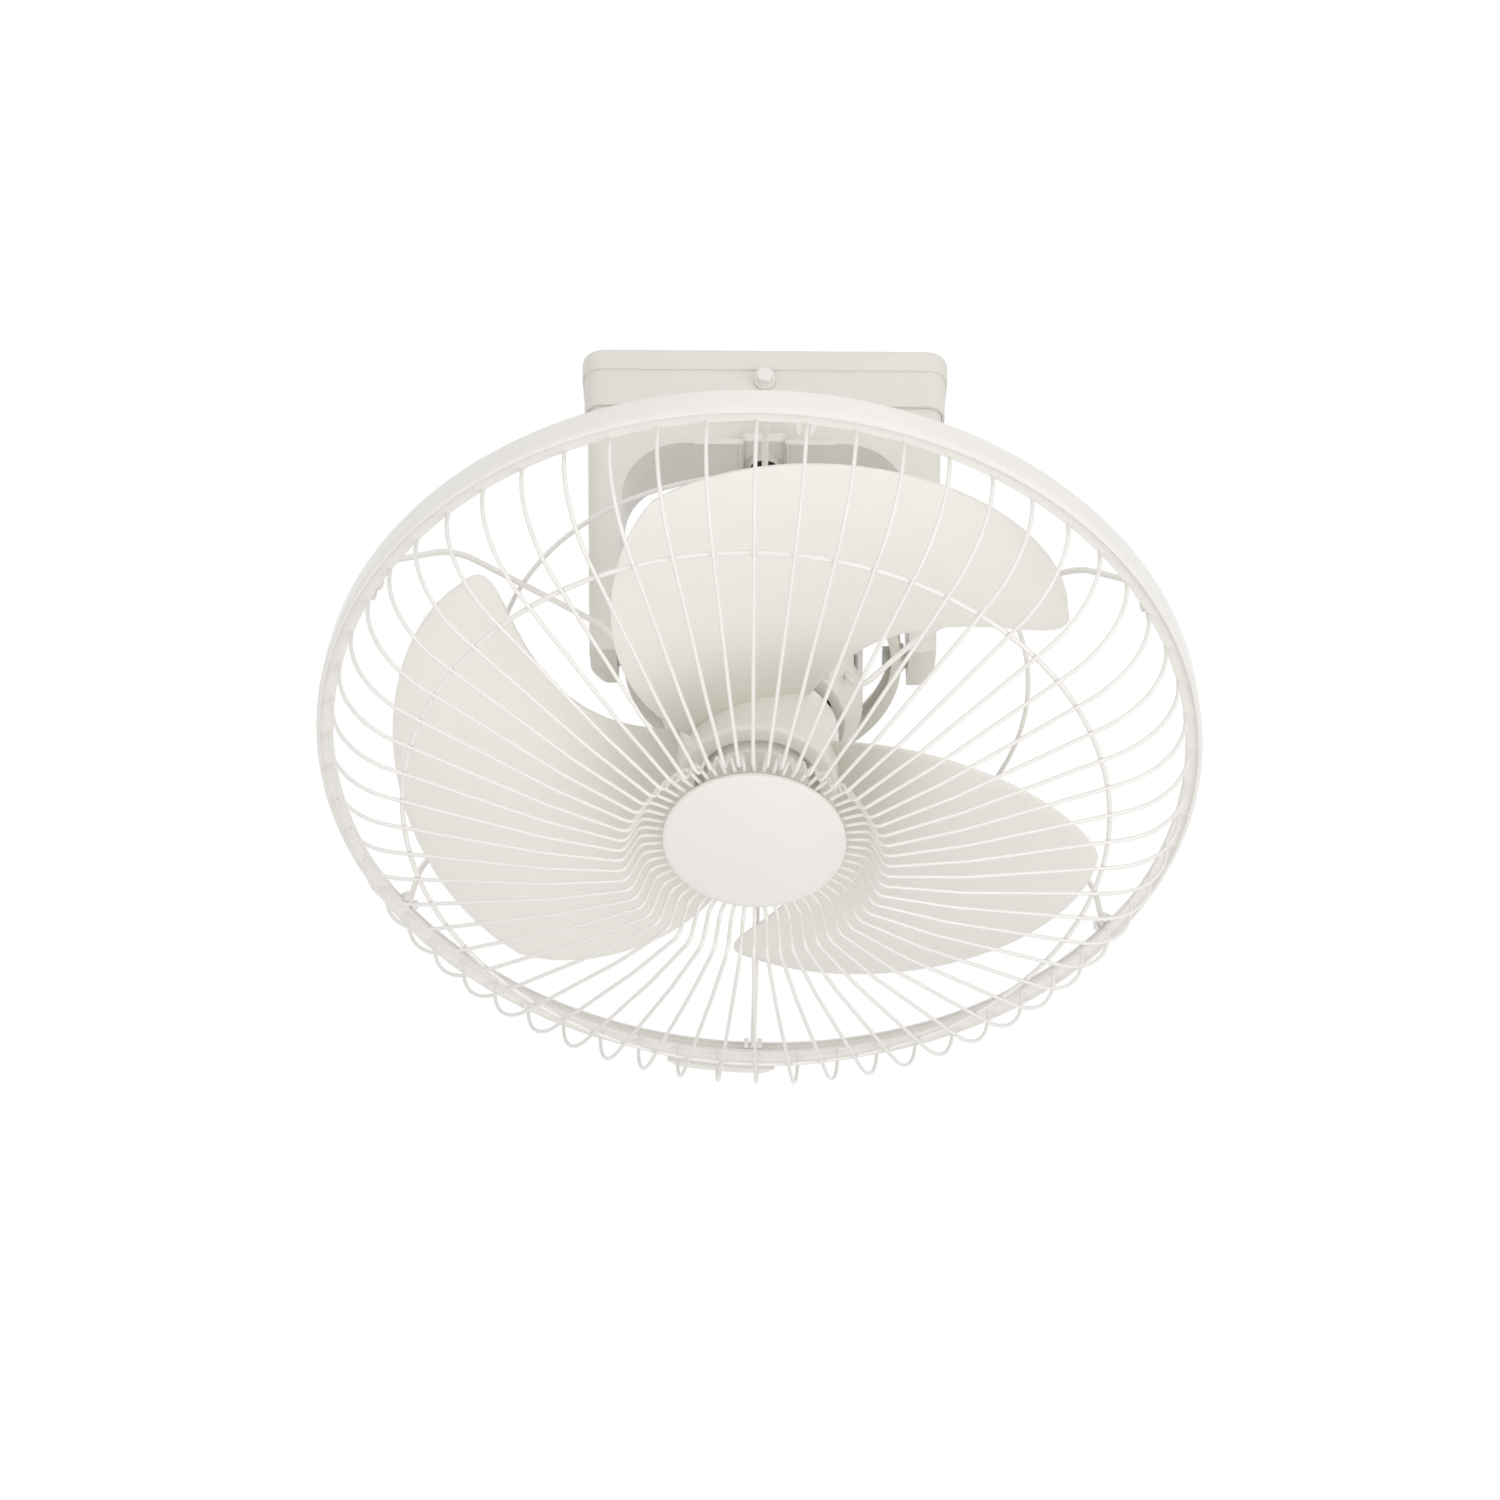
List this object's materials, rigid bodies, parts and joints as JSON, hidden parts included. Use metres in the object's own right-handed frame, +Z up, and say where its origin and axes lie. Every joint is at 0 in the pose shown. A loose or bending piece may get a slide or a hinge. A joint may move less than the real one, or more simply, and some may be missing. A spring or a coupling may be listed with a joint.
{
  "type": "orbital ceiling fan",
  "caption": "Ceiling fan whose round wire-guarded head hangs in a gimbal from a deep inverted-U base and swings round in a circle.",
  "frame": {"origin": "centre of the base's ceiling face", "axes": "+Z up to the ceiling, front of the fan towards -Y, +X to the right seen from the front; at rest the head is tipped 19 degrees forward and stands 4.2 degrees round its orbit towards -X"},
  "size_m": [0.5282, 0.5115, 0.442],
  "materials": {
    "ivory_shell": "satin",
    "white_shell": "satin",
    "blade_plastic": "satin",
    "hub_plastic": "gloss",
    "white_plastic": "matt",
    "black_plastic": "matt",
    "black_rubber": "matt",
    "ivory_metal": "satin",
    "coated_wire": "gloss",
    "zinc_steel": "satin",
    "pivot_steel": "satin",
    "shaft_steel": "polished",
    "lamination_steel": "matt",
    "brass_parts": "satin",
    "copper_coils": "gloss"
  },
  "bodies": {
    "ceiling": {"mounting_plate": "zinc_steel", "cable_grommet": "black_rubber", "frame_strap": "zinc_steel", "yoke_front_cover": "ivory_shell", "yoke_rear_cover": "ivory_shell", "canopy_cover": "ivory_shell", "knob_nut": "brass_parts", "plate_screws": "zinc_steel", "terminal_block": "white_plastic", "orbit_socket_holder": "zinc_steel", "orbit_socket": "black_plastic", "leg_pivot_bolts": "pivot_steel", "leg_pivot_nuts": "zinc_steel", "leg_pivot_washers": "zinc_steel"},
    "knob": {"cover_knob": "ivory_shell"},
    "gimbal": {"gimbal_ring": "ivory_metal", "gimbal_bushes": "white_plastic"},
    "head": {"motor_front_shell": "ivory_metal", "motor_rear_shell": "ivory_metal", "motor_screws": "zinc_steel", "motor_pivot_bolts": "pivot_steel", "stator_core": "lamination_steel", "stator_coils": "copper_coils", "front_bearing": "brass_parts", "rear_bearing": "brass_parts", "gear_plate": "zinc_steel", "swing_motor": "zinc_steel", "swing_capacitor": "black_plastic", "gear_case": "ivory_metal", "gear_case_screws": "zinc_steel", "crank_bush": "brass_parts", "rim_band": "white_shell", "front_guard_wires": "coated_wire", "front_support_ring": "coated_wire", "guard_plate": "coated_wire", "guard_cap": "white_shell", "cap_screw": "zinc_steel", "rear_guard_spokes": "coated_wire", "rear_guard_ring": "coated_wire", "rim_clips": "white_shell", "rim_latch": "white_shell"},
    "rotor": {"rotor_core": "lamination_steel", "motor_shaft": "shaft_steel", "blade_wheel": "blade_plastic", "spinner": "hub_plastic", "hub_pin": "shaft_steel"},
    "pinion": {"swing_pinion": "brass_parts"},
    "crank": {"swing_gear": "white_plastic", "crank_shaft": "shaft_steel", "crank_arm": "zinc_steel", "crank_ball": "shaft_steel", "crank_nut": "zinc_steel"}
  },
  "joints": [
    {"name": "knob_turn", "type": "hinge", "parent": "ceiling", "child": "knob", "pos_m": [0, -0.03, -0.026], "axis": [0, -1, 0], "continuous": true},
    {"name": "ring_tilt", "type": "hinge", "parent": "ceiling", "child": "gimbal", "pos_m": [0, 0, -0.22], "axis": [1, 0, 0], "range_deg": [0, 37.95]},
    {"name": "head_tilt", "type": "hinge", "parent": "gimbal", "child": "head", "pos_m": [0, 0, -0.22], "axis": [0, 0.9458, -0.3248], "range_deg": [-20.37, 17.63]},
    {"name": "blade_spin", "type": "hinge", "parent": "head", "child": "rotor", "pos_m": [0, 0, -0.22], "axis": [0.0238, 0.3247, 0.9455], "continuous": true},
    {"name": "crank_turn", "type": "hinge", "parent": "head", "child": "crank", "pos_m": [0, 0, -0.22], "axis": [0.0238, 0.3247, 0.9455], "continuous": true},
    {"name": "pinion_turn", "type": "hinge", "parent": "head", "child": "pinion", "pos_m": [0.02999, -0.00023, -0.22068], "axis": [0.0238, 0.3247, 0.9455], "continuous": true}
  ],
  "couplings": [
    {"joint": "pinion_turn", "follows": "crank_turn", "ratio": -3}
  ]
}
